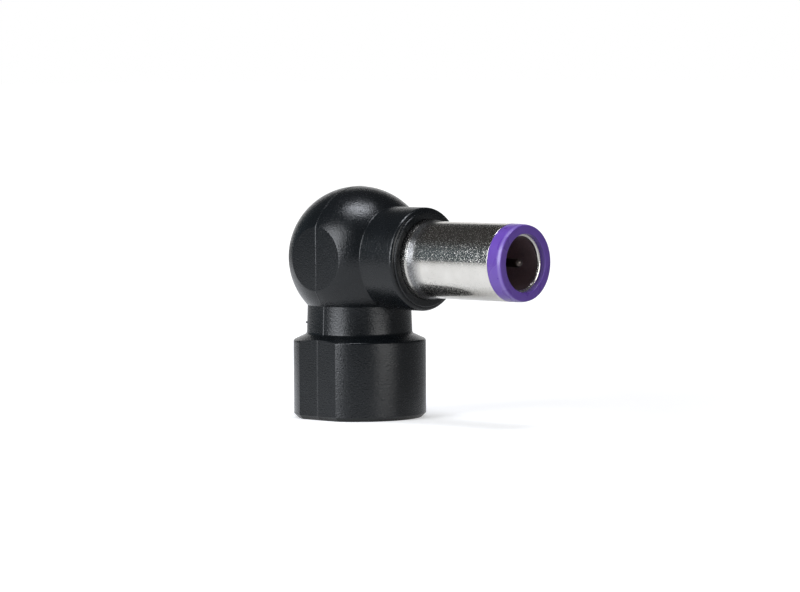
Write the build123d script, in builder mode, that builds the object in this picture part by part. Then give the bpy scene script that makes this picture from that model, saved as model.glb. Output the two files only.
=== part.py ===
from build123d import *
from math import radians, tan
import os

os.makedirs("parts", exist_ok=True)

# Right-angle power tip, in millimetres.
# Origin at the centre of the collar's lower face, +Z up, barrel along +X.

# Ball and thumb facets
BALL_R = 7.35
BALL_Z = 16.7
FACET_DIST = 6.55

# Outer contact of the barrel
SLEEVE_R = 3.95
SLEEVE_WALL = 0.4
SLEEVE_REAR_X = 5.6
FLARE_RISE = 0.17
FLARE_LENGTH = 1.2
FLANGE_PROUD = 0.45
FLANGE_SETBACK = 0.4
FLANGE_LENGTH = 1.2

# Side boss: a cylinder that ends in a ledge and a raised disc round the barrel
BOSS_WALL = 1.37
BOSS_LEDGE_X = 9.55
BOSS_EDGE_ROUND = 0.25
LEDGE_WIDTH = 0.4
DISC_PROUD = 0.17
DISC_EDGE_ROUND = 0.15
BARREL_GAP = 0.05
BARREL_GAP_DEPTH = 0.3

# Insulating ring at the barrel's mouth
BARREL_REACH = 13.28
RING_LENGTH = 1.72
RING_TAPER = 0.12
RING_FRONT_ROUND = 0.12
RING_HOLE_ROUND = 0.12

# Inner contact and its bevelled mouth
INNER_BORE_R = 2.75
INNER_WALL = 0.2
INNER_RECESS = 0.55
INNER_BEVEL = 0.14

# Centre pin and the insulator that holds it
PIN_R = 0.45
PIN_RECESS = 0.6
PIN_COLLAR_PROUD = 0.35
PIN_COLLAR_LENGTH = 0.8
BORE_DEPTH = 12.0
REAR_FLANGE_THICK = 1.4
TAG_LENGTH = 1.8
TAG_WIDTH = 1.4

# Socket in the collar, and the polarising key that stands in the seam of its plated shell
SOCKET_R = 5.2
SOCKET_DEPTH = 6.5
KEY_WIDTH = 1.4
KEY_PROUD = 1.0
KEY_GAP = 0.1
SHELL_WALL = 0.5
SHELL_RECESS = 0.8
SHELL_LEAD_IN = 0.2
SHELL_SEAT_DEPTH = 1.0
SHELL_FLANGE_PROUD = 0.45
SHELL_FLANGE_THICK = 0.5

# Collar with two flats, sloping shoulder and drafted neck
COLLAR_WALL = 1.7
FLAT_WALL = 1.2
COLLAR_HEIGHT = 8.1
COLLAR_CHAMFER = 0.45
COLLAR_RIM_ROUND = 0.15
SHOULDER_RISE = 0.65
NECK_FOOT_R = 5.5
NECK_FOOT_ROUND = 0.2
NECK_DRAFT = 2.0

# Base insulator and its three contacts
INSULATOR_THICK = 1.8
CONTACT_R = 0.5
CONTACT_CIRCLE_R = 3.1
CONTACT_TIP_Z = 1.2
CONTACT_COLLAR_PROUD = 0.3
CONTACT_COLLAR_LENGTH = 0.6
CONTACT_TAIL = 0.3
CONTACT_ANGLES = {"sense_pin": 180, "power_pin": 300, "return_pin": 60}

# Coding board with its resistor
BOARD_LIFT = 1.1
BOARD_THICK = 0.8
BOARD_MARGIN = 0.45
RESISTOR_DEPTH = 0.8
RESISTOR_WIDTH = 1.6
RESISTOR_HEIGHT = 0.45
RESISTOR_X = 2.2

# Leads from the board to the barrel
LEAD_R = 0.5
LEAD_BEND_R = 1.5
LEAD_FOOT_X = -1.0
LEAD_END_GAP = 0.4

# Skin of the outer moulding over the first one, and its grip on the flange
BALL_SKIN = 0.95
NECK_SKIN = 1.15
FLANGE_GRIP = 0.3

# An edge this near to a stated place and radius is the one meant
EDGE_MATCH = 0.001

# Sizes that follow from those above
flare_r = SLEEVE_R + FLARE_RISE
sleeve_bore_r = SLEEVE_R - SLEEVE_WALL
inner_r = INNER_BORE_R + INNER_WALL
flange_r = SLEEVE_R + FLANGE_PROUD
boss_r = SLEEVE_R + BOSS_WALL
disc_r = boss_r - LEDGE_WIDTH
shell_bore_r = SOCKET_R - SHELL_WALL
shell_flange_r = SOCKET_R + SHELL_FLANGE_PROUD
collar_r = SOCKET_R + COLLAR_WALL
flat_dist = SOCKET_R + FLAT_WALL
core_neck_r = NECK_FOOT_R - NECK_SKIN

# Places along the barrel's axis
boss_face_x = BOSS_LEDGE_X + DISC_PROUD
tip_x = boss_face_x + BARREL_REACH
ring_rear_x = tip_x - RING_LENGTH
inner_front_x = tip_x - INNER_RECESS
pin_tip_x = tip_x - PIN_RECESS
bore_end_x = tip_x - BORE_DEPTH
inner_rear_x = SLEEVE_REAR_X + REAR_FLANGE_THICK
tag_rear_x = SLEEVE_REAR_X - TAG_LENGTH
flange_x = SLEEVE_REAR_X + FLANGE_SETBACK

# Heights above the collar's lower face
neck_foot_z = COLLAR_HEIGHT + SHOULDER_RISE
insulator_top_z = SOCKET_DEPTH + INSULATOR_THICK
board_z = insulator_top_z + BOARD_LIFT
board_top_z = board_z + BOARD_THICK
shell_top_z = SOCKET_DEPTH + SHELL_SEAT_DEPTH

# The barrel's pieces are turned about its axis, from profiles of (X, radius)
barrel_axis = Axis((0, 0, BALL_Z), (1, 0, 0))
barrel_profile = Plane(origin=(0, 0, BALL_Z), x_dir=(1, 0, 0), z_dir=(0, -1, 0))


def barrel_section(x):
    """The plane across the barrel at x, with its own x along +Y."""
    return Plane(origin=(x, 0, BALL_Z), x_dir=(0, 1, 0), z_dir=(1, 0, 0))


def rings_at(piece, x, radius):
    """The circular edges of a piece round the barrel's axis at x, of one radius."""
    rings = piece.edges().filter_by(GeomType.CIRCLE)
    return rings.filter_by(lambda ring: abs(ring.center().X - x) + abs(ring.radius - radius) < EDGE_MATCH)


def rims_at(piece, z, radius):
    """The circular edges of a piece round the upright axis at height z, of one radius."""
    rims = piece.edges().filter_by(GeomType.CIRCLE)
    return rims.filter_by(lambda rim: abs(rim.center().Z - z) + abs(rim.radius - radius) < EDGE_MATCH)


def finish(piece, name):
    """Label a finished piece and write its STEP file."""
    piece.part.label = name
    export_step(piece.part, f"parts/{name}.step")


# Outline of the outer contact, filled, because the mouldings close round it
with BuildPart() as sleeve_outline:
    with BuildSketch(barrel_profile):
        with BuildLine():
            flare_end = (boss_face_x + FLARE_LENGTH, SLEEVE_R)
            Polyline((SLEEVE_REAR_X, 0), (SLEEVE_REAR_X, flare_r), (boss_face_x, flare_r))
            TangentArc(flare_end, (boss_face_x, flare_r), tangent=(-1, 0))
            Polyline(flare_end, (ring_rear_x, SLEEVE_R), (ring_rear_x, 0), (SLEEVE_REAR_X, 0))
        make_face()
    revolve(axis=barrel_axis)
    with BuildSketch(barrel_section(flange_x)):
        Circle(flange_r)
    extrude(amount=FLANGE_LENGTH)

# Outer contact, a turned tube with a solder tag on its +Y side
with BuildPart() as barrel_sleeve:
    add(sleeve_outline.part)
    with BuildSketch(barrel_section(SLEEVE_REAR_X)):
        Circle(sleeve_bore_r)
    extrude(amount=ring_rear_x - SLEEVE_REAR_X, mode=Mode.SUBTRACT)
    with BuildSketch(barrel_section(tag_rear_x)):
        with Locations((flare_r / 2, 0)):
            Rectangle(flare_r, TAG_WIDTH)
        Circle(flare_r, mode=Mode.INTERSECT)
        Circle(sleeve_bore_r, mode=Mode.SUBTRACT)
    extrude(amount=TAG_LENGTH)
finish(barrel_sleeve, "barrel_sleeve")

# Insulating ring at the mouth, one moulding with the liner between the contacts
with BuildPart() as tip_insulator:
    with BuildSketch(barrel_profile):
        with BuildLine():
            Polyline(
                (inner_rear_x, inner_r),
                (tip_x, inner_r),
                (tip_x, SLEEVE_R - RING_TAPER),
                (ring_rear_x, SLEEVE_R),
                (ring_rear_x, sleeve_bore_r),
                (inner_rear_x, sleeve_bore_r),
                close=True,
            )
        make_face()
    revolve(axis=barrel_axis)
    fillet(rings_at(tip_insulator, tip_x, SLEEVE_R - RING_TAPER), RING_FRONT_ROUND)
    fillet(rings_at(tip_insulator, tip_x, inner_r), RING_HOLE_ROUND)
finish(tip_insulator, "tip_insulator")

# Inner contact, a thin tube with a bevelled mouth and a solder tag on its -Y side
with BuildPart() as inner_contact:
    with BuildSketch(barrel_section(inner_rear_x)):
        Circle(inner_r)
        Circle(INNER_BORE_R, mode=Mode.SUBTRACT)
    extrude(amount=inner_front_x - inner_rear_x)
    chamfer(rings_at(inner_contact, inner_front_x, INNER_BORE_R), INNER_BEVEL)
    with BuildSketch(barrel_section(tag_rear_x)):
        with Locations((-inner_r / 2, 0)):
            Rectangle(inner_r, TAG_WIDTH)
        Circle(inner_r, mode=Mode.INTERSECT)
        Circle(INNER_BORE_R, mode=Mode.SUBTRACT)
    extrude(amount=inner_rear_x - tag_rear_x)
finish(inner_contact, "inner_contact")

# Centre pin: a round tip, a collar that locks it in its insulator, and a straight tail
with BuildPart() as centre_pin:
    with BuildSketch(barrel_profile):
        with BuildLine():
            pin_shoulder = (pin_tip_x - PIN_R, PIN_R)
            Polyline((pin_tip_x, 0), (tag_rear_x, 0), (tag_rear_x, PIN_R), pin_shoulder)
            TangentArc(pin_shoulder, (pin_tip_x, 0), tangent=(1, 0))
        make_face()
    revolve(axis=barrel_axis)
    with BuildSketch(barrel_section(bore_end_x)):
        Circle(PIN_R + PIN_COLLAR_PROUD)
    extrude(amount=-PIN_COLLAR_LENGTH)
finish(centre_pin, "centre_pin")

# Rear insulator: a flange inside the outer contact and a spigot inside the inner one
with BuildPart() as rear_insulator:
    with BuildSketch(barrel_section(SLEEVE_REAR_X)):
        Circle(sleeve_bore_r)
    extrude(amount=REAR_FLANGE_THICK)
    with BuildSketch(barrel_section(inner_rear_x)):
        Circle(INNER_BORE_R)
    extrude(amount=bore_end_x - inner_rear_x)
    add(centre_pin.part, mode=Mode.SUBTRACT)
    add(inner_contact.part, mode=Mode.SUBTRACT)
finish(rear_insulator, "rear_insulator")

# Three base contacts, turned from the tip up through the insulator and the board
base_contacts = []
for contact_name, contact_angle in CONTACT_ANGLES.items():
    foot = Vector(CONTACT_CIRCLE_R, 0, 0).rotate(Axis.Z, contact_angle)
    with BuildPart() as base_contact:
        with BuildSketch(Plane(origin=foot, x_dir=(1, 0, 0), z_dir=(0, -1, 0))):
            with BuildLine():
                contact_shoulder = (CONTACT_R, CONTACT_TIP_Z + CONTACT_R)
                tail_end_z = board_top_z + CONTACT_TAIL
                Polyline((0, CONTACT_TIP_Z), (0, tail_end_z), (CONTACT_R, tail_end_z), contact_shoulder)
                TangentArc(contact_shoulder, (0, CONTACT_TIP_Z), tangent=(0, -1))
            make_face()
        revolve(axis=Axis(foot, (0, 0, 1)))
        with BuildSketch(Plane(origin=foot + Vector(0, 0, SOCKET_DEPTH))):
            Circle(CONTACT_R + CONTACT_COLLAR_PROUD)
        extrude(amount=CONTACT_COLLAR_LENGTH)
    finish(base_contact, contact_name)
    base_contacts.append(base_contact.part)

# Socket shell, rolled from strip round the contacts, with a flange that locks it in the collar
with BuildPart() as socket_shell:
    with BuildSketch(Plane.XY.offset(SHELL_RECESS)):
        Circle(SOCKET_R)
    extrude(amount=shell_top_z - SHELL_RECESS)
    with BuildSketch(Plane.XY.offset(shell_top_z)):
        Circle(shell_flange_r)
    extrude(amount=-SHELL_FLANGE_THICK)
    with BuildSketch(Plane.XY.offset(SHELL_RECESS)):
        Circle(shell_bore_r)
    extrude(amount=shell_top_z - SHELL_RECESS, mode=Mode.SUBTRACT)
    chamfer(rims_at(socket_shell, SHELL_RECESS, shell_bore_r), SHELL_LEAD_IN)
    with BuildSketch(Plane.XY.offset(SHELL_RECESS)):
        with Locations((shell_flange_r, 0)):
            Rectangle(2 * shell_flange_r, KEY_WIDTH + 2 * KEY_GAP)
    extrude(amount=shell_top_z - SHELL_RECESS, mode=Mode.SUBTRACT)
finish(socket_shell, "socket_shell")

# Base insulator, the disc at the bottom of the socket, closed round the shell's end
with BuildPart() as base_insulator:
    with BuildSketch(Plane.XY.offset(SOCKET_DEPTH)):
        Circle(SOCKET_R)
    extrude(amount=INSULATOR_THICK)
    add([socket_shell.part, *base_contacts], mode=Mode.SUBTRACT)
finish(base_insulator, "base_insulator")

# Coding board on the contacts' tails
with BuildPart() as coding_board:
    with BuildSketch(Plane.XY.offset(board_z)):
        Circle(core_neck_r - BOARD_MARGIN)
    extrude(amount=BOARD_THICK)
    add(base_contacts, mode=Mode.SUBTRACT)
finish(coding_board, "coding_board")

with BuildPart() as chip_resistor:
    with BuildSketch(Plane.XY.offset(board_top_z)):
        with Locations((RESISTOR_X, 0)):
            Rectangle(RESISTOR_DEPTH, RESISTOR_WIDTH)
    extrude(amount=RESISTOR_HEIGHT)
finish(chip_resistor, "chip_resistor")

# Leads: each rises from the board and turns forward to its own contact's tail or tag
lead_end_x = SLEEVE_REAR_X - LEAD_END_GAP
LEAD_ENDS = {
    "sense_lead": (tag_rear_x, 0),
    "power_lead": (lead_end_x, LEAD_R - INNER_BORE_R),
    "return_lead": (lead_end_x, sleeve_bore_r - LEAD_R),
}
leads = []
for lead_name, (end_x, lead_y) in LEAD_ENDS.items():
    lead_foot = Vector(LEAD_FOOT_X, lead_y, board_top_z)
    with BuildPart() as lead:
        with BuildLine():
            FilletPolyline(
                lead_foot,
                (LEAD_FOOT_X, lead_y, BALL_Z),
                (end_x, lead_y, BALL_Z),
                radius=LEAD_BEND_R,
            )
        with BuildSketch(Plane(origin=lead_foot)):
            Circle(LEAD_R)
        sweep()
    finish(lead, lead_name)
    leads.append(lead.part)

# Outline of the first moulding: a ball with a neck down to the base insulator
# and a short boss over the barrel's flange
with BuildPart() as core_outline:
    with Locations((0, 0, BALL_Z)):
        Sphere(FACET_DIST - BALL_SKIN)
    with BuildSketch(Plane.XY.offset(insulator_top_z)):
        Circle(core_neck_r)
    extrude(amount=BALL_Z - insulator_top_z)
    with BuildSketch(barrel_section(0)):
        Circle(flange_r + FLANGE_GRIP)
    extrude(amount=flange_x + FLANGE_LENGTH + FLANGE_GRIP)

# First moulding, closed round the board, the leads and the back of the barrel
with BuildPart() as inner_mould:
    add(core_outline.part)
    add(sleeve_outline.part, mode=Mode.SUBTRACT)
    add([barrel_sleeve.part, inner_contact.part, centre_pin.part], mode=Mode.SUBTRACT)
    add([coding_board.part, chip_resistor.part, *base_contacts, *leads], mode=Mode.SUBTRACT)
finish(inner_mould, "inner_mould")

# Outer moulding
with BuildPart() as overmould_body:
    # Collar, shoulder and neck
    with BuildSketch(Plane.XZ):
        with BuildLine():
            neck_top_r = NECK_FOOT_R - (BALL_Z - neck_foot_z) * tan(radians(NECK_DRAFT))
            Polyline(
                (0, 0),
                (collar_r, 0),
                (collar_r, COLLAR_HEIGHT),
                (NECK_FOOT_R, neck_foot_z),
                (neck_top_r, BALL_Z),
                (0, BALL_Z),
                close=True,
            )
        make_face()
    revolve(axis=Axis.Z)
    fillet(rims_at(overmould_body, COLLAR_HEIGHT, collar_r), COLLAR_RIM_ROUND)
    fillet(rims_at(overmould_body, neck_foot_z, NECK_FOOT_R), NECK_FOOT_ROUND)

    # Two flats, then the chamfer that runs round the collar's foot
    with BuildSketch(Plane.XY):
        with Locations((0, flat_dist + collar_r), (0, -flat_dist - collar_r)):
            Rectangle(2 * collar_r, 2 * collar_r)
    extrude(amount=neck_foot_z, mode=Mode.SUBTRACT)
    chamfer(overmould_body.faces().sort_by(Axis.Z)[0].edges(), COLLAR_CHAMFER)

    # Ball with a thumb facet on each side
    with Locations((0, 0, BALL_Z)):
        Sphere(BALL_R)
    for side in (-1, 1):
        with BuildSketch(Plane.XZ.offset(side * FACET_DIST)):
            with Locations((0, BALL_Z)):
                Circle(BALL_R)
        extrude(amount=side * BALL_R, mode=Mode.SUBTRACT)

    # Boss, its ledge and its raised disc
    with BuildSketch(barrel_section(0)):
        Circle(boss_r)
    extrude(amount=BOSS_LEDGE_X)
    fillet(rings_at(overmould_body, BOSS_LEDGE_X, boss_r), BOSS_EDGE_ROUND)
    with BuildSketch(barrel_section(BOSS_LEDGE_X)):
        Circle(disc_r)
    extrude(amount=DISC_PROUD)
    fillet(rings_at(overmould_body, boss_face_x, disc_r), DISC_EDGE_ROUND)
    with BuildSketch(barrel_section(boss_face_x)):
        Circle(flare_r + BARREL_GAP)
    extrude(amount=-BARREL_GAP_DEPTH, mode=Mode.SUBTRACT)

    # Keyed socket, and the seats of everything that the moulding closes round
    with BuildSketch(Plane.XY):
        Circle(SOCKET_R)
        with Locations((SOCKET_R, 0)):
            Rectangle(2 * KEY_PROUD, KEY_WIDTH, mode=Mode.SUBTRACT)
    extrude(amount=SOCKET_DEPTH, mode=Mode.SUBTRACT)
    with BuildSketch(Plane.XY.offset(SOCKET_DEPTH)):
        Circle(SOCKET_R)
    extrude(amount=INSULATOR_THICK, mode=Mode.SUBTRACT)
    add([socket_shell.part, core_outline.part, sleeve_outline.part], mode=Mode.SUBTRACT)
finish(overmould_body, "overmould_body")
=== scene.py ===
import logging
import math
from collections.abc import Iterator
from contextlib import contextmanager
from dataclasses import dataclass, replace
from enum import Enum

import bmesh
import bpy
from mathutils import Matrix, Vector


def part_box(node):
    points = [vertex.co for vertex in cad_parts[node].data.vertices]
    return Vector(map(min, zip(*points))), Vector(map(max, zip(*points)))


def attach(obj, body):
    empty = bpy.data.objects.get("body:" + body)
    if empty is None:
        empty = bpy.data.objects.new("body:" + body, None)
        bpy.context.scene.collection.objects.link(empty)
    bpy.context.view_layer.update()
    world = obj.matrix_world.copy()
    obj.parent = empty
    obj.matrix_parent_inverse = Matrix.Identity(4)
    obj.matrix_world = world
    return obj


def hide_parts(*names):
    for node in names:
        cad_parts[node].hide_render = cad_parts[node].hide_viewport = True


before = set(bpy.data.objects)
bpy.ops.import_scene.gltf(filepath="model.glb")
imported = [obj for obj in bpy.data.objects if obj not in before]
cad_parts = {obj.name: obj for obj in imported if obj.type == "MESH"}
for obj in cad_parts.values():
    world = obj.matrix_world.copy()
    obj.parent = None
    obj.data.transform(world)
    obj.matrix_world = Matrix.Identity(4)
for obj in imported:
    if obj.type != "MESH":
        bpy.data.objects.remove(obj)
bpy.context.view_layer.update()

log = logging.getLogger("power_tip")

# The frame is in metres. Places closer than NEAR are taken for one, and vertices closer
# than DOUBLED are merged. A station is a place along a turned piece's axis and a radius.
MM = 0.001
NEAR = 0.002 * MM
DOUBLED = NEAR / 20
RING_STEPS = 192
SMOOTH_BELOW = math.radians(12)
NOISE_MIDDLE = (0.3, 0.7)
BODY = "root"
WHITE = (1, 1, 1)
Colour = tuple[float, float, float]
Station = tuple[float, float]
Span = tuple[float, float]
Band = tuple[float, float, float, float]


class Axis(Enum):
    """The direction that a round piece is turned about."""

    X = (1, 0, 0)
    Y = (0, 1, 0)
    Z = (0, 0, 1)

    @property
    def vector(self) -> Vector:
        """The axis as a unit vector."""
        return Vector(self.value)

    @property
    def turn(self) -> tuple[float, float, float]:
        """The Euler angles that take a primitive's own Z onto this axis."""
        quarter = math.pi / 2
        return {Axis.X: (0, quarter, 0), Axis.Y: (-quarter, 0, 0), Axis.Z: (0, 0, 0)}[self]


class Join(Enum):
    """How one solid is combined with another."""

    ADD = "UNION"
    CUT = "DIFFERENCE"


def towards(azimuth: float, elevation: float) -> Vector:
    """The unit vector to a viewpoint, with azimuth 0 on the -Y side and 90 on the +X side."""
    turn, rise = math.radians(azimuth), math.radians(elevation)
    return Vector(
        (math.sin(turn) * math.cos(rise), -math.cos(turn) * math.cos(rise), math.sin(rise))
    )


def deselect() -> None:
    """Leave nothing selected, so that the next operator acts on new work alone."""
    bpy.ops.object.select_all(action="DESELECT")


def bake_place(piece: bpy.types.Object) -> None:
    """Move a piece's place, turn and scale into its mesh.

    Args:
        piece: The object to settle at the origin.
    """
    deselect()
    piece.select_set(True)
    bpy.context.view_layer.objects.active = piece
    bpy.ops.object.transform_apply(location=True, rotation=True, scale=True)


@contextmanager
def editing(piece: bpy.types.Object) -> Iterator[bmesh.types.BMesh]:
    """Open a piece in edit mode with nothing selected.

    Args:
        piece: The object to edit.

    Returns:
        The edit mesh, whose edges and faces the caller selects by place.
    """
    deselect()
    piece.select_set(True)
    bpy.context.view_layer.objects.active = piece
    bpy.ops.object.mode_set(mode="EDIT")
    bpy.ops.mesh.select_mode(type="EDGE")
    bpy.ops.mesh.select_all(action="DESELECT")
    yield bmesh.from_edit_mesh(piece.data)
    bpy.ops.object.mode_set(mode="OBJECT")


def face_outward(piece: bpy.types.Object) -> None:
    """Merge doubled vertices and turn every face outward.

    Args:
        piece: The object to clean.
    """
    with editing(piece):
        bpy.ops.mesh.select_all(action="SELECT")
        bpy.ops.mesh.remove_doubles(threshold=DOUBLED)
        bpy.ops.mesh.normals_make_consistent(inside=False)


def turned(
    name: str,
    axis: Axis,
    centre: Vector,
    stations: list[Station],
    hollow: bool = False,
) -> bpy.types.Object:
    """Turn a round piece by extruding a ring of vertices from station to station.

    Args:
        name: The piece's name.
        axis: The axis that it is turned about.
        centre: A point on the axis, from which the stations are measured.
        stations: Where the ring of vertices stops on its way.
        hollow: True where the last station leads back to the first, as on a tube.

    Returns:
        The turned piece, closed, with its faces outward.
    """
    deselect()
    along, radius = stations[0]
    bpy.ops.mesh.primitive_circle_add(
        vertices=RING_STEPS,
        radius=radius,
        fill_type="NOTHING" if hollow else "NGON",
        location=centre + axis.vector * along,
        rotation=axis.turn,
    )
    piece = bpy.context.active_object
    piece.name = piece.data.name = name
    bake_place(piece)
    route = stations[1:] + stations[:1] if hollow else stations[1:]
    with editing(piece):
        bpy.ops.mesh.select_all(action="SELECT")
        for next_along, next_radius in route:
            bpy.ops.mesh.extrude_region_move(
                TRANSFORM_OT_translate={"value": axis.vector * (next_along - along)}
            )
            share = next_radius / radius
            bpy.ops.transform.resize(
                value=(share, share, share),
                center_override=centre + axis.vector * next_along,
            )
            along, radius = next_along, next_radius
    face_outward(piece)
    return piece


def station_of(point: Vector, axis: Axis, centre: Vector) -> Station:
    """Where a point lies on a turned piece.

    Args:
        point: The point.
        axis: The axis that the piece is turned about.
        centre: A point on the axis.

    Returns:
        The point's place along the axis from the centre, and its distance from the axis.
    """
    arm = point - centre
    along = arm.dot(axis.vector)
    return along, (arm - axis.vector * along).length


def round_rim(
    piece: bpy.types.Object,
    axis: Axis,
    centre: Vector,
    rim: Station,
    width: float,
    steps: int = 8,
) -> None:
    """Round one circular edge of a turned piece.

    Args:
        piece: The piece to round.
        axis: The axis that the rim runs about.
        centre: The point on the axis that the rim's place is measured from.
        rim: The rim's place along the axis and its radius.
        width: How far the rounding reaches from the edge.
        steps: How many faces the rounding has across it.
    """
    with editing(piece) as mesh:
        for edge in mesh.edges:
            places = [station_of(vertex.co, axis, centre) for vertex in edge.verts]
            edge.select = all(math.dist(place, rim) < NEAR for place in places)
        bmesh.update_edit_mesh(piece.data)
        bpy.ops.mesh.bevel(offset=width, segments=steps, profile=0.5, affect="EDGES")


def slice_off(piece: bpy.types.Object, point: Vector, normal: Vector) -> None:
    """Cut a piece by a plane, drop what the normal points at, and close the cut.

    Args:
        piece: The piece to cut.
        point: A point on the plane.
        normal: The plane's normal, towards the side that goes.
    """
    with editing(piece):
        bpy.ops.mesh.select_all(action="SELECT")
        bpy.ops.mesh.bisect(
            plane_co=point, plane_no=normal, clear_outer=True, use_fill=True, threshold=DOUBLED
        )


def combine(piece: bpy.types.Object, tool: bpy.types.Object, how: Join) -> None:
    """Add a second solid to a piece, or cut it away, and drop the second solid.

    Args:
        piece: The solid that stays.
        tool: The solid that is used up.
        how: Whether it is added or cut away.
    """
    deselect()
    piece.select_set(True)
    bpy.context.view_layer.objects.active = piece
    modifier = piece.modifiers.new(how.name.lower(), "BOOLEAN")
    modifier.operation = how.value
    modifier.solver = "EXACT"
    modifier.object = tool
    bpy.ops.object.modifier_apply(modifier=modifier.name)
    bpy.data.objects.remove(tool, do_unlink=True)


def block(low: Vector, high: Vector) -> bpy.types.Object:
    """Make a cuboid to cut with.

    Args:
        low: Its lowest corner.
        high: Its highest corner.

    Returns:
        The cuboid.
    """
    deselect()
    bpy.ops.mesh.primitive_cube_add(size=1, location=(low + high) / 2, scale=high - low)
    tool = bpy.context.active_object
    bake_place(tool)
    return tool


class Sheet:
    """The node tree of one material or world, with short calls to add and join nodes."""

    def __init__(self, owner: bpy.types.Material | bpy.types.World, output: str) -> None:
        """Clear the owner's tree and give it an output.

        Args:
            owner: The material or world.
            output: The output node's type, without the leading ShaderNode.
        """
        owner.use_nodes = True
        self.owner = owner
        self.tree = owner.node_tree
        self.tree.nodes.clear()
        self.output = self.add(output)

    @classmethod
    def of_material(cls, name: str) -> "Sheet":
        """The sheet of a new material."""
        return cls(bpy.data.materials.new(name), "OutputMaterial")

    def add(self, kind: str, **inputs: object) -> bpy.types.Node:
        """Add a node and set or link its inputs.

        Args:
            kind: The node's type, without the leading ShaderNode.
            inputs: Input names, with underscores for spaces, and a value or a socket for each.

        Returns:
            The new node.
        """
        node = self.tree.nodes.new("ShaderNode" + kind)
        for name, value in inputs.items():
            socket = node.inputs[name.replace("_", " ")]
            if isinstance(value, bpy.types.NodeSocket):
                self.tree.links.new(value, socket)
            else:
                socket.default_value = value
        return node

    def place(self) -> bpy.types.NodeSocket:
        """The point being shaded, in the piece's own metres."""
        return self.add("TexCoord").outputs["Object"]

    def grain(self, size: float, detail: float = 2.0) -> bpy.types.NodeSocket:
        """Noise from 0 to 1 whose features are about this many metres across."""
        noise = self.add("TexNoise", Vector=self.place(), Scale=1 / size, Detail=detail)
        return noise.outputs["Fac"]

    def spread(self, noise: bpy.types.NodeSocket, low: float, high: float) -> bpy.types.NodeSocket:
        """Map the middle of a noise's range to another range.

        Args:
            noise: The noise.
            low: What the low end of the middle becomes.
            high: What the high end becomes.

        Returns:
            The mapped number.
        """
        start, end = NOISE_MIDDLE
        mapped = self.add(
            "MapRange", Value=noise, From_Min=start, From_Max=end, To_Min=low, To_Max=high
        )
        return mapped.outputs["Result"]

    def ramp(self, value: bpy.types.NodeSocket, start: float, full: float) -> bpy.types.NodeSocket:
        """A factor that is 0 up to the value start and 1 from the value full."""
        return self.add("MapRange", Value=value, From_Min=start, From_Max=full).outputs["Result"]

    def mean(
        self, factor: bpy.types.NodeSocket, low: bpy.types.NodeSocket, high: float
    ) -> bpy.types.NodeSocket:
        """A number between two, by a factor from 0 to 1."""
        return self.add("Mix", Factor=factor, A=low, B=high).outputs["Result"]

    def along(self, point: bpy.types.NodeSocket, way: Vector) -> bpy.types.NodeSocket:
        """How far a point lies along a way.

        Args:
            point: The point.
            way: The unit vector of the way.

        Returns:
            The distance.
        """
        dot = self.add("VectorMath")
        dot.operation = "DOT_PRODUCT"
        self.tree.links.new(point, dot.inputs[0])
        dot.inputs[1].default_value = way
        return dot.outputs["Value"]

    def blend(
        self,
        factor: bpy.types.NodeSocket,
        low: Colour | bpy.types.NodeSocket,
        high: Colour | bpy.types.NodeSocket,
    ) -> bpy.types.NodeSocket:
        """A colour between two.

        Args:
            factor: 0 for the first colour, 1 for the second.
            low: The first colour.
            high: The second colour.

        Returns:
            The colour.
        """
        mix = self.add("Mix")
        mix.data_type = "RGBA"
        self.tree.links.new(factor, mix.inputs["Factor"])
        for socket, colour in ((mix.inputs[6], low), (mix.inputs[7], high)):
            if isinstance(colour, bpy.types.NodeSocket):
                self.tree.links.new(colour, socket)
            else:
                socket.default_value = (*colour, 1)
        return mix.outputs[2]

    def band(self, start: float, full: float, fade: float, end: float) -> bpy.types.NodeSocket:
        """A factor along X that rises from 0 to 1 and falls back to 0.

        Args:
            start: Where it leaves 0.
            full: Where it reaches 1.
            fade: Where it leaves 1.
            end: Where it is 0 again.

        Returns:
            The factor.
        """
        across = self.add("SeparateXYZ", Vector=self.place()).outputs["X"]
        rise = self.ramp(across, start, full)
        both = self.add("MapRange", Value=across, From_Min=end, From_Max=fade, To_Max=rise)
        return both.outputs["Result"]

    def relief(
        self,
        height: bpy.types.NodeSocket,
        depth: float,
        below: bpy.types.NodeSocket | None = None,
    ) -> bpy.types.NodeSocket:
        """Surface relief from a height, over another relief where one is given.

        Args:
            height: The height, from 0 to 1.
            depth: What a height of 1 stands for, in metres.
            below: The relief that this one is laid over.

        Returns:
            The shading normal.
        """
        bump = self.add("Bump", Height=height, Distance=depth, Strength=1.0)
        if below is not None:
            self.tree.links.new(below, bump.inputs["Normal"])
        return bump.outputs["Normal"]

    def facing(self, way: Vector, start: float, full: float) -> bpy.types.NodeSocket:
        """A factor that rises from 0 to 1 as the world's direction turns towards a way.

        Args:
            way: The unit vector of the way.
            start: The cosine at which the factor leaves 0.
            full: The cosine at which it reaches 1.

        Returns:
            The factor.
        """
        cosine = self.along(self.add("TexCoord").outputs["Generated"], way)
        soft = self.add("MapRange", Value=cosine, From_Min=start, From_Max=full)
        soft.interpolation_type = "SMOOTHSTEP"
        return soft.outputs["Result"]

    def close(self, shader: bpy.types.Node) -> None:
        """Lead a shader to the output."""
        self.tree.links.new(shader.outputs[0], self.output.inputs["Surface"])

    def surface(self, **inputs: object) -> bpy.types.Material:
        """Close the tree with a principled surface and return the material."""
        self.close(self.add("BsdfPrincipled", **inputs))
        return self.owner


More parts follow.
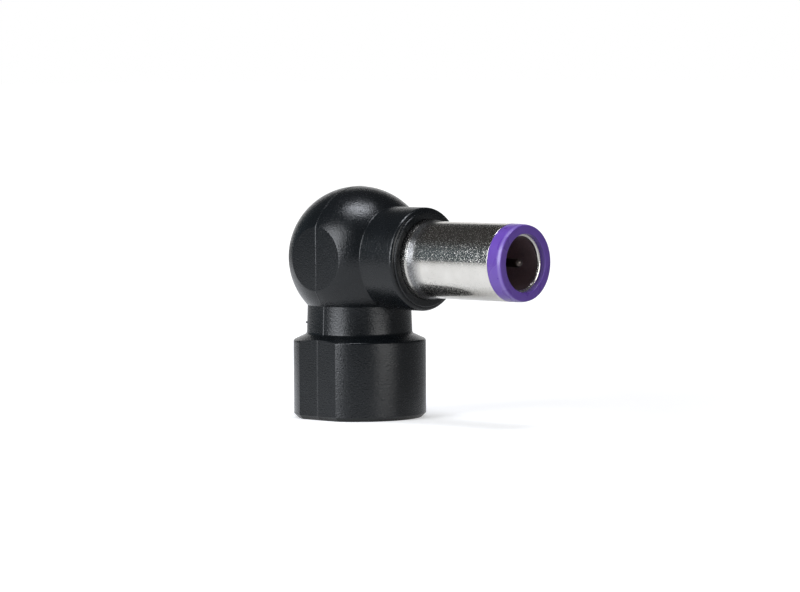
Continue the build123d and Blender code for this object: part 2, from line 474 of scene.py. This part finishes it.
@dataclass(frozen=True)
class SparkGrain:
    """Black moulding plastic from a spark-eroded tool: matt, with a fine pebble."""

    name: str = "black_spark_grain"
    low: Colour = (0.0030, 0.0040, 0.0048)
    high: Colour = (0.0050, 0.0062, 0.0074)
    gloss: float = 0.36
    pebble: float = 0.16 * MM
    pebble_depth: float = 0.022 * MM
    sand: float = 0.06 * MM
    sand_depth: float = 0.005 * MM
    patch: float = 2.5 * MM
    roughness: Span = (0.22, 0.28)

    def material(self) -> bpy.types.Material:
        """Build the material.

        Returns:
            The material, on no piece yet.
        """
        sheet = Sheet.of_material(self.name)
        pebble = sheet.grain(self.pebble, detail=1.0)
        relief = sheet.relief(pebble, self.pebble_depth)
        relief = sheet.relief(sheet.grain(self.sand, detail=0.0), self.sand_depth, relief)
        patch = sheet.spread(sheet.grain(self.patch), 0, 1)
        return sheet.surface(
            Base_Color=sheet.blend(patch, self.low, self.high),
            Roughness=sheet.spread(pebble, *self.roughness),
            Specular_IOR_Level=self.gloss,
            Normal=relief,
        )


@dataclass(frozen=True)
class Plate:
    """Electroplated metal with fine pits, dull specks and drawn lines.

    A dull band, where one is given, has four places along X: where it starts, where it is
    full, where it starts to fade and where it ends.
    """

    name: str
    low: Colour
    high: Colour
    roughness: Span
    pit: float = 0.12 * MM
    pit_depth: float = 0.0056 * MM
    pit_limits: Span = (0.56, 0.76)
    speck: float = 0.08 * MM
    speck_limits: Span = (0.60, 0.72)
    speck_roughness: float = 0.29
    drawn: float = 0.05 * MM
    drawn_stretch: float = 0.04
    drawn_depth: float = 0.0004 * MM
    patch: float = 1.8 * MM
    dull_band: Band | None = None
    dull_low: Colour = (0.4, 0.4, 0.4)
    dull_high: Colour = (0.5, 0.5, 0.5)
    dull_roughness: float = 0.5

    def material(self) -> bpy.types.Material:
        """Build the material.

        Returns:
            The material, on no piece yet.
        """
        sheet = Sheet.of_material(self.name)
        pit = sheet.ramp(sheet.grain(self.pit, detail=1.0), *self.pit_limits)
        relief = sheet.relief(pit, -self.pit_depth)
        drawn_out = sheet.add("Mapping", Vector=sheet.place(), Scale=(self.drawn_stretch, 1, 1))
        lines = sheet.add(
            "TexNoise", Vector=drawn_out.outputs["Vector"], Scale=1 / self.drawn, Detail=2.0
        )
        relief = sheet.relief(lines.outputs["Fac"], self.drawn_depth, relief)
        patch = sheet.grain(self.patch, detail=3.0)
        colour = sheet.blend(sheet.spread(patch, 0, 1), self.low, self.high)
        speck = sheet.ramp(sheet.grain(self.speck, detail=0.0), *self.speck_limits)
        roughness = sheet.spread(patch, *self.roughness)
        roughness = sheet.mean(speck, roughness, self.speck_roughness)
        if self.dull_band:
            dull = sheet.band(*self.dull_band)
            mottle = sheet.spread(sheet.grain(self.pit, detail=0.0), 0, 1)
            dull_colour = sheet.blend(mottle, self.dull_low, self.dull_high)
            colour = sheet.blend(dull, colour, dull_colour)
            roughness = sheet.mean(dull, roughness, self.dull_roughness)
        return sheet.surface(Base_Color=colour, Metallic=1.0, Roughness=roughness, Normal=relief)


@dataclass(frozen=True)
class Moulded:
    """Satin moulding plastic with faint flow marks and a soft surface ripple.

    A painted highlight band, where one is given, is a paler colour with four places along X, as a
    dull band of plating has.
    """

    name: str
    low: Colour
    high: Colour
    roughness: Span
    ripple: float = 0.35 * MM
    ripple_depth: float = 0.0007 * MM
    patch: float = 1.2 * MM
    painted_highlight_band: Band | None = None
    pale: Colour = (0.5, 0.5, 0.5)

    def material(self) -> bpy.types.Material:
        """Build the material.

        Returns:
            The material, on no piece yet.
        """
        sheet = Sheet.of_material(self.name)
        patch = sheet.grain(self.patch, detail=0.0)
        colour = sheet.blend(sheet.spread(patch, 0, 1), self.low, self.high)
        # The pale band is painted highlight: a paler colour along the ring's crest.
        if self.painted_highlight_band:
            colour = sheet.blend(sheet.band(*self.painted_highlight_band), colour, self.pale)
        return sheet.surface(
            Base_Color=colour,
            Roughness=sheet.spread(patch, *self.roughness),
            Normal=sheet.relief(sheet.grain(self.ripple, detail=0.0), self.ripple_depth),
        )


@dataclass
class Finishes:
    """Every finish of the tip, each made once.

    The root's dull band is measured from the boss's face, the crest's painted highlight band from
    the ring's tip, and the fade of the bore's dull skin from the inner contact's mouth.
    """

    root_band: Band = (0.5 * MM, 0.9 * MM, 1.3 * MM, 2.6 * MM)
    crest_highlight_band: Band = (-0.46 * MM, -0.30 * MM, -0.16 * MM, -0.04 * MM)
    mouth_fade: Span = (-0.34 * MM, -0.26 * MM)
    bore_lead: float = 1 * MM

    def __post_init__(self) -> None:
        """Make the finishes, some of which change along the barrel."""
        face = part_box("overmould_body")[1].x
        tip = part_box("tip_insulator")[1].x
        rear, mouth = (corner.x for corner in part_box("inner_contact"))
        self.black = SparkGrain().material()
        bright = Plate(
            "bright_nickel",
            low=(0.62, 0.60, 0.56),
            high=(0.70, 0.68, 0.64),
            roughness=(0.07, 0.13),
        )
        self.nickel = bright.material()
        self.barrel = replace(
            bright,
            name="barrel_nickel",
            dull_band=tuple(face + step for step in self.root_band),
            dull_low=(0.10, 0.10, 0.10),
            dull_high=(0.28, 0.28, 0.28),
            dull_roughness=0.28,
        ).material()
        self.bore = replace(
            bright,
            name="bore_nickel",
            roughness=(0.14, 0.22),
            dull_band=(rear - self.bore_lead, rear, *(mouth + step for step in self.mouth_fade)),
            dull_low=(0.42, 0.32, 0.34),
            dull_high=(0.50, 0.38, 0.40),
            dull_roughness=0.52,
        ).material()
        # The pin's very dark plating is painted shade, standing in for the shade deep in the bore
        # and dimming its tip's glint.
        self.pin = Plate(
            "pin_painted_shade",
            low=(0.085, 0.075, 0.068),
            high=(0.115, 0.10, 0.09),
            roughness=(0.28, 0.34),
        ).material()
        self.gold = Plate(
            "flash_gold",
            low=(0.80, 0.56, 0.20),
            high=(0.90, 0.68, 0.30),
            roughness=(0.14, 0.24),
        ).material()
        self.purple = Moulded(
            "purple_insulation",
            low=(0.106, 0.048, 0.305),
            high=(0.116, 0.055, 0.330),
            roughness=(0.26, 0.34),
            # The crest's paler band is a painted highlight, where a lamp's highlight runs along the
            # ring's front edge.
            painted_highlight_band=tuple(tip + step for step in self.crest_highlight_band),
            pale=(0.175, 0.115, 0.385),
        ).material()
        self.dark = Moulded(
            "dark_insulation",
            low=(0.016, 0.012, 0.010),
            high=(0.024, 0.018, 0.015),
            roughness=(0.40, 0.52),
        ).material()
        self.core = Moulded(
            "pale_core",
            low=(0.66, 0.64, 0.58),
            high=(0.74, 0.72, 0.66),
            roughness=(0.42, 0.55),
        ).material()
        self.board = Moulded(
            "green_laminate",
            low=(0.02, 0.13, 0.05),
            high=(0.03, 0.18, 0.07),
            roughness=(0.25, 0.35),
        ).material()
        self.chip = Moulded(
            "chip_glaze",
            low=(0.015, 0.015, 0.016),
            high=(0.03, 0.03, 0.03),
            roughness=(0.22, 0.3),
        ).material()
        self.lead = Moulded(
            "lead_sleeving",
            low=(0.40, 0.03, 0.025),
            high=(0.48, 0.04, 0.03),
            roughness=(0.38, 0.5),
        ).material()


def dress(piece: bpy.types.Object, finish: bpy.types.Material) -> None:
    """Give a piece one finish all over."""
    piece.data.materials.clear()
    piece.data.materials.append(finish)


def settle(piece: bpy.types.Object, node: str, finish: bpy.types.Material) -> None:
    """Smooth a modelled piece, dress it, and put it in place of a solid.

    Args:
        piece: The finished mesh.
        node: The solid that it stands for.
        finish: Its material.
    """
    face_outward(piece)
    deselect()
    piece.select_set(True)
    bpy.context.view_layer.objects.active = piece
    bpy.ops.object.shade_smooth_by_angle(angle=SMOOTH_BELOW)
    dress(piece, finish)
    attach(piece, BODY)
    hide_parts(node)
    piece.data.calc_loop_triangles()
    log.info("%s stands for %s with %d triangles", piece.name, node, len(piece.data.loop_triangles))


@dataclass
class BlackMoulding:
    """The outer moulding: collar, neck, ball with two thumb facets, and the barrel's boss."""

    finish: bpy.types.Material
    collar_wall: float = 1.7 * MM
    flat_wall: float = 1.2 * MM
    collar_height: float = 8.1 * MM
    collar_chamfer: float = 0.45 * MM
    rim_round: float = 0.15 * MM
    shoulder_rise: float = 0.65 * MM
    neck_foot_radius: float = 5.5 * MM
    neck_draft: float = math.radians(2)
    neck_foot_round: float = 0.2 * MM
    facet_round: float = 0.06 * MM
    facet_steps: int = 3
    boss_radius: float = 5.32 * MM
    boss_ledge: float = 0.17 * MM
    boss_round: float = 0.38 * MM
    disc_radius: float = 4.92 * MM
    disc_round: float = 0.15 * MM
    barrel_gap: float = 0.05 * MM
    barrel_gap_depth: float = 0.3 * MM
    flare_radius: float = 4.12 * MM
    seam_height: float = 0.025 * MM
    seam_half_width: float = 0.09 * MM
    junction_round: float = 0.2 * MM
    junction_steps: int = 6
    junction_depth: float = 0.3 * MM
    nub_azimuth: float = -46.5
    nub_height: float = 9.9 * MM
    nub_radius: float = 0.1 * MM
    nub_segments: int = 16
    key_width: float = 1.4 * MM
    key_reach: float = 1.0 * MM
    core_skin: float = 0.95 * MM
    core_neck_radius: float = 4.35 * MM
    flange_grip: float = 0.3 * MM
    shell_top: float = 7.5 * MM
    shell_flange_thick: float = 0.5 * MM
    tool_overrun: float = 0.15 * MM

    def __post_init__(self) -> None:
        """Read the places that the solids give."""
        low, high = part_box("overmould_body")
        self.ball_radius = -low.x
        self.facet = high.y
        self.face = high.x
        self.ball = Vector((0, 0, high.z - self.ball_radius))
        floor_low, floor_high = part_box("base_insulator")
        self.socket_radius = floor_high.x
        self.socket_depth, self.socket_end = floor_low.z, floor_high.z
        self.collar_radius = self.socket_radius + self.collar_wall
        self.flat = self.socket_radius + self.flat_wall
        self.flange_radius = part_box("barrel_sleeve")[1].y
        self.shell_flange_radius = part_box("socket_shell")[1].y
        self.core_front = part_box("inner_mould")[1].x

    def neck_radius(self, height: float) -> float:
        """The radius of the drafted neck at a height."""
        rise = height - (self.collar_height + self.shoulder_rise)
        return self.neck_foot_radius - rise * math.tan(self.neck_draft)

    def collar(self) -> bpy.types.Object:
        """Make the collar with its flats, shoulder and neck, up to the ball's centre.

        Returns:
            The collar.
        """
        origin = Vector()
        rim = (self.collar_height, self.collar_radius)
        foot = (self.collar_height + self.shoulder_rise, self.neck_foot_radius)
        stations = [
            (0, self.collar_radius - self.collar_chamfer),
            (self.collar_chamfer, self.collar_radius),
            rim,
            foot,
            (self.ball.z, self.neck_radius(self.ball.z)),
        ]
        piece = turned("collar", Axis.Z, origin, stations)
        round_rim(piece, Axis.Z, origin, rim, self.rim_round)
        round_rim(piece, Axis.Z, origin, foot, self.neck_foot_round)
        for side in (-1, 1):
            slice_off(piece, Vector((0, side * self.flat, 0)), Vector((0, side, 0)))
            chamfer_edge = Vector((0, side * self.flat, self.collar_chamfer))
            slice_off(piece, chamfer_edge, Vector((0, side, -1)).normalized())
        return piece

    def ball_with_facets(self) -> bpy.types.Object:
        """Make the ball, cut flat on both sides, with its poles in the middle of the cuts.

        Returns:
            The ball.
        """
        deselect()
        bpy.ops.mesh.primitive_uv_sphere_add(
            segments=RING_STEPS,
            ring_count=RING_STEPS // 2,
            radius=self.ball_radius,
            location=self.ball,
            rotation=Axis.Y.turn,
        )
        piece = bpy.context.active_object
        bake_place(piece)
        cut_radius = math.sqrt(self.ball_radius**2 - self.facet**2)
        for side in (-1, 1):
            way = Vector((0, side, 0))
            slice_off(piece, self.ball + way * self.facet, way)
            rim = (side * self.facet, cut_radius)
            round_rim(piece, Axis.Y, self.ball, rim, self.facet_round, self.facet_steps)
        return piece

    def junction(self) -> list[Station]:
        """Work out the small hollow fillet that runs from the ball to the boss.

        Returns:
            Its stations along the boss, from inside the ball to where it meets the boss.
        """
        centre_radius = self.boss_radius + self.junction_round
        reach = self.ball_radius + self.junction_round
        centre_along = math.sqrt(reach**2 - centre_radius**2)
        sweep = math.asin(centre_along / reach)
        arc = []
        for step in range(self.junction_steps, -1, -1):
            angle = sweep * step / self.junction_steps
            along = centre_along - self.junction_round * math.sin(angle)
            arc.append((along, centre_radius - self.junction_round * math.cos(angle)))
        along, radius = arc[0]
        return [(along - self.junction_depth, radius - self.junction_depth), *arc]

    def boss(self) -> bpy.types.Object:
        """Make the round boss, its ledge, its raised disc and the gap round the barrel's root.

        Returns:
            The boss.
        """
        junction = self.junction()
        ledge = self.face - self.boss_ledge
        rim = (ledge, self.boss_radius)
        disc_rim = (self.face, self.disc_radius)
        gap_radius = self.flare_radius + self.barrel_gap
        stations = [
            (0, junction[0][1]),
            *junction,
            rim,
            (ledge, self.disc_radius),
            disc_rim,
            (self.face, gap_radius),
            (self.face - self.barrel_gap_depth, gap_radius),
        ]
        piece = turned("boss", Axis.X, self.ball, stations)
        round_rim(piece, Axis.X, self.ball, rim, self.boss_round)
        round_rim(piece, Axis.X, self.ball, disc_rim, self.disc_round)
        return piece

    def nub(self) -> bpy.types.Object:
        """Make the speck of flash that stands out of the neck.

        Returns:
            The speck, as a ball that the neck swallows in part.
        """
        reach = self.neck_radius(self.nub_height) + self.nub_radius / 2
        place = towards(self.nub_azimuth, 0) * reach
        place.z = self.nub_height
        deselect()
        bpy.ops.mesh.primitive_uv_sphere_add(
            segments=self.nub_segments,
            ring_count=self.nub_segments // 2,
            radius=self.nub_radius,
            location=place,
        )
        speck = bpy.context.active_object
        bake_place(speck)
        return speck

    def raise_seam(self, body: bpy.types.Object) -> None:
        """Raise the fine ridge that the two halves of the tool leave round the middle plane.

        Args:
            body: The moulding, before its hollows are cut.
        """
        for place in (-self.seam_half_width, 0, self.seam_half_width):
            with editing(body):
                bpy.ops.mesh.select_all(action="SELECT")
                bpy.ops.mesh.bisect(
                    plane_co=(place, 0, 0), plane_no=Axis.X.vector, threshold=DOUBLED
                )
        with editing(body) as mesh:
            bpy.ops.mesh.select_mode(type="VERT")
            for vertex in mesh.verts:
                on_plane = abs(vertex.co.x) < NEAR
                vertex.select = on_plane and vertex.co.z > self.collar_chamfer - NEAR
            bmesh.update_edit_mesh(body.data)
            bpy.ops.transform.shrink_fatten(value=self.seam_height)

    def socket(self) -> bpy.types.Object:
        """Make the space of the keyed socket, the base insulator and the shell's flange.

        Returns:
            The space, as a solid to cut with.
        """
        origin = Vector()
        bore = [(-self.tool_overrun, self.socket_radius), (self.socket_end, self.socket_radius)]
        space = turned("socket_space", Axis.Z, origin, bore)
        key_side = self.key_width / 2
        key = block(
            Vector((self.socket_radius - self.key_reach, -key_side, -2 * self.tool_overrun)),
            Vector((self.collar_radius, key_side, self.socket_depth)),
        )
        combine(space, key, Join.CUT)
        groove = [
            (self.shell_top - self.shell_flange_thick, self.shell_flange_radius),
            (self.shell_top, self.shell_flange_radius),
        ]
        combine(space, turned("flange_groove", Axis.Z, origin, groove), Join.ADD)
        return space

    def core(self) -> bpy.types.Object:
        """Make the space of the first moulding and of the barrel that it holds.

        Returns:
            The space, as a solid to cut with.
        """
        deselect()
        bpy.ops.mesh.primitive_uv_sphere_add(
            segments=RING_STEPS // 2,
            ring_count=RING_STEPS // 4,
            radius=self.facet - self.core_skin,
            location=self.ball,
        )
        space = bpy.context.active_object
        bake_place(space)
        neck = [(self.socket_depth, self.core_neck_radius), (self.ball.z, self.core_neck_radius)]
        combine(space, turned("core_neck", Axis.Z, Vector(), neck), Join.ADD)
        grip = self.flange_radius + self.flange_grip
        barrel = [
            (0, grip),
            (self.core_front, grip),
            (self.core_front, self.flare_radius),
            (self.face, self.flare_radius),
        ]
        combine(space, turned("core_barrel", Axis.X, self.ball, barrel), Join.ADD)
        return space

    def build(self) -> None:
        """Model the moulding and put it in place of its solid."""
        body = self.collar()
        for part in (self.ball_with_facets(), self.boss(), self.nub()):
            combine(body, part, Join.ADD)
        # The hollows are cut after the seam, so that it is raised on the outside alone.
        self.raise_seam(body)
        combine(body, self.socket(), Join.CUT)
        combine(body, self.core(), Join.CUT)
        body.name = body.data.name = "black_moulding"
        settle(body, "overmould_body", self.finish)


@dataclass
class Barrel:
    """The coaxial barrel: outer contact, purple insulating ring and inner contact."""

    finishes: Finishes
    sleeve_wall: float = 0.4 * MM
    flare_rise: float = 0.17 * MM
    flare_lead: float = 0.3 * MM
    flare_length: float = 1.5 * MM
    flare_steps: int = 16
    flange_setback: float = 0.4 * MM
    flange_length: float = 1.2 * MM
    tag_length: float = 1.8 * MM
    tag_width: float = 1.4 * MM
    sleeve_edge_round: float = 0.05 * MM
    ring_taper: float = 0.12 * MM
    ring_front_round: float = 0.08 * MM
    crest_length: float = 0.4 * MM
    crest_fall: float = 0.1 * MM
    crest_round: float = 0.15 * MM
    ring_hole_round: float = 0.12 * MM
    ring_rear_round: float = 0.06 * MM
    inner_wall: float = 0.3 * MM
    mouth_round: float = 0.26 * MM

    def __post_init__(self) -> None:
        """Read the places that the solids give."""
        ring_low, ring_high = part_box("tip_insulator")
        sleeve_low, sleeve_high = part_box("barrel_sleeve")
        inner_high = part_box("inner_contact")[1]
        self.axis_point = Vector((0, 0, (ring_low.z + ring_high.z) / 2))
        self.radius = ring_high.y
        self.tip = ring_high.x
        self.liner_rear = ring_low.x
        self.ring_rear = sleeve_high.x
        self.tag_rear = sleeve_low.x
        self.sleeve_rear = sleeve_low.x + self.tag_length
        self.sleeve_bore = self.radius - self.sleeve_wall
        self.flange_radius = sleeve_high.y
        self.boss_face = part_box("overmould_body")[1].x
        self.inner_radius = inner_high.y
        self.inner_front = inner_high.x

    def tag(self, tube: bpy.types.Object, rear: float, side: int) -> None:
        """Draw a solder tag out of a tube's rear end.

        Args:
            tube: The tube.
            rear: Where its rear end is.
            side: 1 for a tag on the +Y side, -1 for one on the -Y side.
        """
        with editing(tube) as mesh:
            bpy.ops.mesh.select_mode(type="FACE")
            for face in mesh.faces:
                middle = face.calc_center_median()
                at_rear = all(abs(vertex.co.x - rear) < NEAR for vertex in face.verts)
                in_width = abs(middle.z - self.axis_point.z) < self.tag_width / 2
                face.select_set(at_rear and in_width and middle.y * side > 0)
            bmesh.update_edit_mesh(tube.data)
            bpy.ops.mesh.extrude_region_move(
                TRANSFORM_OT_translate={"value": (self.tag_rear - rear, 0, 0)}
            )

    def outer_contact(self) -> None:
        """Model the plated tube, with its flange, its flared root and its solder tag."""
        root = self.radius + self.flare_rise
        flange_rear = self.sleeve_rear + self.flange_setback
        flange_front = flange_rear + self.flange_length
        flare_start = self.boss_face + self.flare_lead
        flare = []
        for step in range(1, self.flare_steps + 1):
            share = step / self.flare_steps
            fall = self.flare_rise * (3 - 2 * share) * share**2
            flare.append((flare_start + self.flare_length * share, root - fall))
        edge = (self.ring_rear, self.radius)
        stations = [
            (self.sleeve_rear, root),
            (flange_rear, root),
            (flange_rear, self.flange_radius),
            (flange_front, self.flange_radius),
            (flange_front, root),
            (self.boss_face, root),
            (flare_start, root),
            *flare,
            edge,
            (self.ring_rear, self.sleeve_bore),
            (self.sleeve_rear, self.sleeve_bore),
        ]
        tube = turned("nickel_barrel", Axis.X, self.axis_point, stations, hollow=True)
        round_rim(tube, Axis.X, self.axis_point, edge, self.sleeve_edge_round)
        self.tag(tube, self.sleeve_rear, 1)
        settle(tube, "barrel_sleeve", self.finishes.barrel)

    def ring(self) -> None:
        """Model the insulating ring, with the liner behind it."""
        hole = (self.tip, self.inner_radius)
        front = (self.tip, self.radius - self.ring_taper)
        crest = (self.tip - self.crest_length, front[1] + self.crest_fall)
        rear = (self.ring_rear, self.radius)
        stations = [
            (self.liner_rear, self.inner_radius),
            hole,
            front,
            crest,
            rear,
            (self.ring_rear, self.sleeve_bore),
            (self.liner_rear, self.sleeve_bore),
        ]
        piece = turned("purple_ring", Axis.X, self.axis_point, stations, hollow=True)
        for rim, width in (
            (front, self.ring_front_round),
            (crest, self.crest_round),
            (hole, self.ring_hole_round),
            (rear, self.ring_rear_round),
        ):
            round_rim(piece, Axis.X, self.axis_point, rim, width)
        settle(piece, "tip_insulator", self.finishes.purple)

    def inner_contact(self) -> None:
        """Model the thin tube whose rounded mouth shows inside the ring."""
        bore = self.inner_radius - self.inner_wall
        mouth = (self.inner_front, bore)
        stations = [
            (self.liner_rear, bore),
            mouth,
            (self.inner_front, self.inner_radius),
            (self.liner_rear, self.inner_radius),
        ]
        tube = turned("nickel_bore", Axis.X, self.axis_point, stations, hollow=True)
        round_rim(tube, Axis.X, self.axis_point, mouth, self.mouth_round)
        self.tag(tube, self.liner_rear, -1)
        settle(tube, "inner_contact", self.finishes.bore)

    def build(self) -> None:
        """Model the barrel's pieces and put them in place of their solids."""
        self.outer_contact()
        self.ring()
        self.inner_contact()


@dataclass
class KeptSolids:
    """The pieces whose solids keep their own shape and take a better finish."""

    finishes: Finishes

    def build(self) -> None:
        """Dress each kept solid."""
        kept = {
            "centre_pin": self.finishes.pin,
            "rear_insulator": self.finishes.dark,
            "inner_mould": self.finishes.core,
            "socket_shell": self.finishes.nickel,
            "base_insulator": self.finishes.dark,
            "power_pin": self.finishes.gold,
            "return_pin": self.finishes.gold,
            "sense_pin": self.finishes.gold,
            "coding_board": self.finishes.board,
            "chip_resistor": self.finishes.chip,
            "power_lead": self.finishes.lead,
            "return_lead": self.finishes.lead,
            "sense_lead": self.finishes.lead,
        }
        for node, finish in kept.items():
            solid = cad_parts[node]
            for place in solid.material_slots:
                place.material = finish
            log.info("%s keeps its solid", node)


@dataclass(frozen=True)
class Softbox:
    """A soft lamp that looks at the tip."""

    name: str
    azimuth: float
    elevation: float
    distance: float
    width: float
    height: float
    level: float
    colour: Colour = WHITE

    def build(self, target: Vector) -> None:
        """Hang the lamp, whose level looks the same from any distance.

        Args:
            target: The point that it looks at.
        """
        data = bpy.data.lights.new(self.name, "AREA")
        data.shape = "RECTANGLE"
        data.size, data.size_y = self.width, self.height
        data.energy = self.level * (math.pi * self.distance) ** 2
        data.color = self.colour
        lamp = bpy.data.objects.new(self.name, data)
        bpy.context.scene.collection.objects.link(lamp)
        way = towards(self.azimuth, self.elevation)
        lamp.location = target + way * self.distance
        lamp.rotation_euler = way.to_track_quat("Z", "Y").to_euler()


@dataclass(frozen=True)
class Panel:
    """A stretch of the room round the tip, seen only in reflections and as fill light."""

    azimuth: float
    elevation: float
    start: float
    full: float
    colour: Colour


@dataclass(frozen=True)
class FloorPaper:
    """Pale paper that is white to the camera and in the plating, and keeps the shadow.

    The paper carries painted shade towards one side and far from the tip, a darker colour there, so
    that the black plastic mirrors less of it. To the camera it glows, more where it is shaded or
    far, so that it looks even.
    """

    name: str = "floor_paper"
    colour: Colour = (0.80, 0.80, 0.80)
    dim: Colour = (0.22, 0.22, 0.22)
    dim_azimuth: float = 140.0
    dim_reach: Span = (4 * MM, 32 * MM)
    far: Colour = (0.28, 0.28, 0.28)
    far_reach: Span = (45 * MM, 220 * MM)
    lift: Span = (0.42, 1.0)
    dim_lift: float = 0.8
    lift_reach: Span = (40 * MM, 300 * MM)
    gloss_lift: float = 0.22

    def material(self) -> bpy.types.Material:
        """Build the material.

        Returns:
            The material, on no piece yet.
        """
        sheet = Sheet.of_material(self.name)
        length = sheet.add("VectorMath")
        length.operation = "LENGTH"
        sheet.tree.links.new(sheet.place(), length.inputs[0])
        distance = length.outputs["Value"]
        # The darker colour towards one side and far from the tip is painted shade.
        aside = sheet.along(sheet.place(), towards(self.dim_azimuth, 0))
        dimmed = sheet.ramp(aside, *self.dim_reach)
        colour = sheet.blend(dimmed, self.colour, self.dim)
        colour = sheet.blend(sheet.ramp(distance, *self.far_reach), colour, self.far)
        near, far = self.lift_reach
        weak, strong = self.lift
        near_lift = sheet.add("MapRange", Value=dimmed, To_Min=weak, To_Max=self.dim_lift)
        lift = sheet.add(
            "MapRange",
            Value=distance,
            From_Min=near,
            From_Max=far,
            To_Min=near_lift.outputs["Result"],
            To_Max=strong,
        )
        seen = sheet.add("Emission", Strength=lift.outputs["Result"])
        mirrored = sheet.add("Emission", Strength=self.gloss_lift)
        rays = sheet.add("LightPath")
        total = sheet.add("BsdfDiffuse", Color=colour)
        # Each glow is let through for its kind of ray and added to the paper's own light.
        for ray, glow in (("Is Camera Ray", seen), ("Is Glossy Ray", mirrored)):
            gate = sheet.add("MixShader", Fac=rays.outputs[ray])
            sheet.tree.links.new(glow.outputs[0], gate.inputs[2])
            both = sheet.add("AddShader")
            sheet.tree.links.new(total.outputs[0], both.inputs[0])
            sheet.tree.links.new(gate.outputs[0], both.inputs[1])
            total = both
        sheet.close(total)
        return sheet.owner


@dataclass
class Studio:
    """The pale floor, the room and the soft lamps."""

    target: Vector
    floor_size: float = 12.0
    floor_drop: float = 0.01 * MM
    paper: FloorPaper = FloorPaper()
    room: Colour = (0.085, 0.09, 0.095)
    panels: tuple[Panel, ...] = (
        Panel(azimuth=-46.5, elevation=0, start=0.30, full=0.70, colour=(0.105, 0.128, 0.143)),
        Panel(azimuth=0, elevation=90, start=0.30, full=0.74, colour=(0.050, 0.049, 0.048)),
        Panel(azimuth=223.5, elevation=0, start=0.86, full=0.95, colour=WHITE),
    )
    lamps: tuple[Softbox, ...] = (
        Softbox(
            "overhead_softbox",
            azimuth=43.5,
            elevation=87,
            distance=0.60,
            width=0.27,
            height=0.16,
            level=0.64,
            colour=(0.90, 0.93, 1.0),
        ),
        Softbox(
            "left_softbox",
            azimuth=-7.0,
            elevation=20,
            distance=0.60,
            width=0.36,
            height=0.56,
            level=1.38,
            colour=(0.92, 0.95, 1.0),
        ),
        Softbox(
            "right_softbox",
            azimuth=88.5,
            elevation=12,
            distance=0.60,
            width=0.34,
            height=0.36,
            level=0.41,
        ),
    )

    def floor(self) -> None:
        """Lay the floor a hair below the tip and dress it in its paper."""
        deselect()
        bpy.ops.mesh.primitive_plane_add(size=self.floor_size, location=(0, 0, -self.floor_drop))
        plane = bpy.context.active_object
        plane.name = "studio_floor"
        dress(plane, self.paper.material())

    def surround(self) -> None:
        """Set up a world that is white to the camera, and a dim room to the tip."""
        world = bpy.data.worlds.new("studio_room")
        bpy.context.scene.world = world
        sheet = Sheet(world, "OutputWorld")
        colour = self.room
        for panel in self.panels:
            way = towards(panel.azimuth, panel.elevation)
            colour = sheet.blend(sheet.facing(way, panel.start, panel.full), colour, panel.colour)
        seen = sheet.add("LightPath").outputs["Is Camera Ray"]
        sheet.close(sheet.add("Background", Color=sheet.blend(seen, colour, WHITE)))

    def build(self) -> None:
        """Set up the floor, the room and the lamps."""
        bpy.context.scene.view_settings.view_transform = "Standard"
        self.floor()
        self.surround()
        for lamp in self.lamps:
            lamp.build(self.target)
        log.info("studio set up with %d lamps", len(self.lamps))


@dataclass
class PhotoCamera:
    """A camera with a long lens, at the photograph's place, that looks just past the ball."""

    ball: Vector
    azimuth: float = 43.5
    elevation: float = 2.85
    distance: float = 400 * MM
    aim_right: float = 4.23 * MM
    aim_down: float = 4.14 * MM
    roll: float = math.radians(-0.406)
    lens: float = 172.7
    sensor: float = 36.0
    clip_start: float = 4 * MM

    def build(self) -> None:
        """Place the camera and make it the scene's own."""
        back = towards(self.azimuth, self.elevation)
        right = Vector((-back.y, back.x, 0)).normalized()
        up = back.cross(right)
        place = self.ball + back * self.distance
        aim = self.ball + right * self.aim_right - up * self.aim_down
        look = (place - aim).normalized()
        side = (right - look * look.dot(right)).normalized()
        rise = look.cross(side)
        rolled_side = side * math.cos(self.roll) + rise * math.sin(self.roll)
        rolled_rise = rise * math.cos(self.roll) - side * math.sin(self.roll)
        data = bpy.data.cameras.new("photo_camera")
        data.lens = self.lens
        data.sensor_width = self.sensor
        data.clip_start = self.clip_start
        camera = bpy.data.objects.new("photo_camera", data)
        bpy.context.scene.collection.objects.link(camera)
        camera.matrix_world = Matrix.Translation(place) @ Matrix(
            (rolled_side, rolled_rise, look)
        ).transposed().to_4x4()
        bpy.context.scene.camera = camera


def main() -> None:
    """Build the tip's pieces round the frame, then the studio and the camera."""
    logging.basicConfig(level=logging.INFO, format="%(message)s")
    finishes = Finishes()
    moulding = BlackMoulding(finishes.black)
    moulding.build()
    Barrel(finishes).build()
    KeptSolids(finishes).build()
    Studio(moulding.ball).build()
    PhotoCamera(moulding.ball).build()


if __name__ == "__main__":
    main()
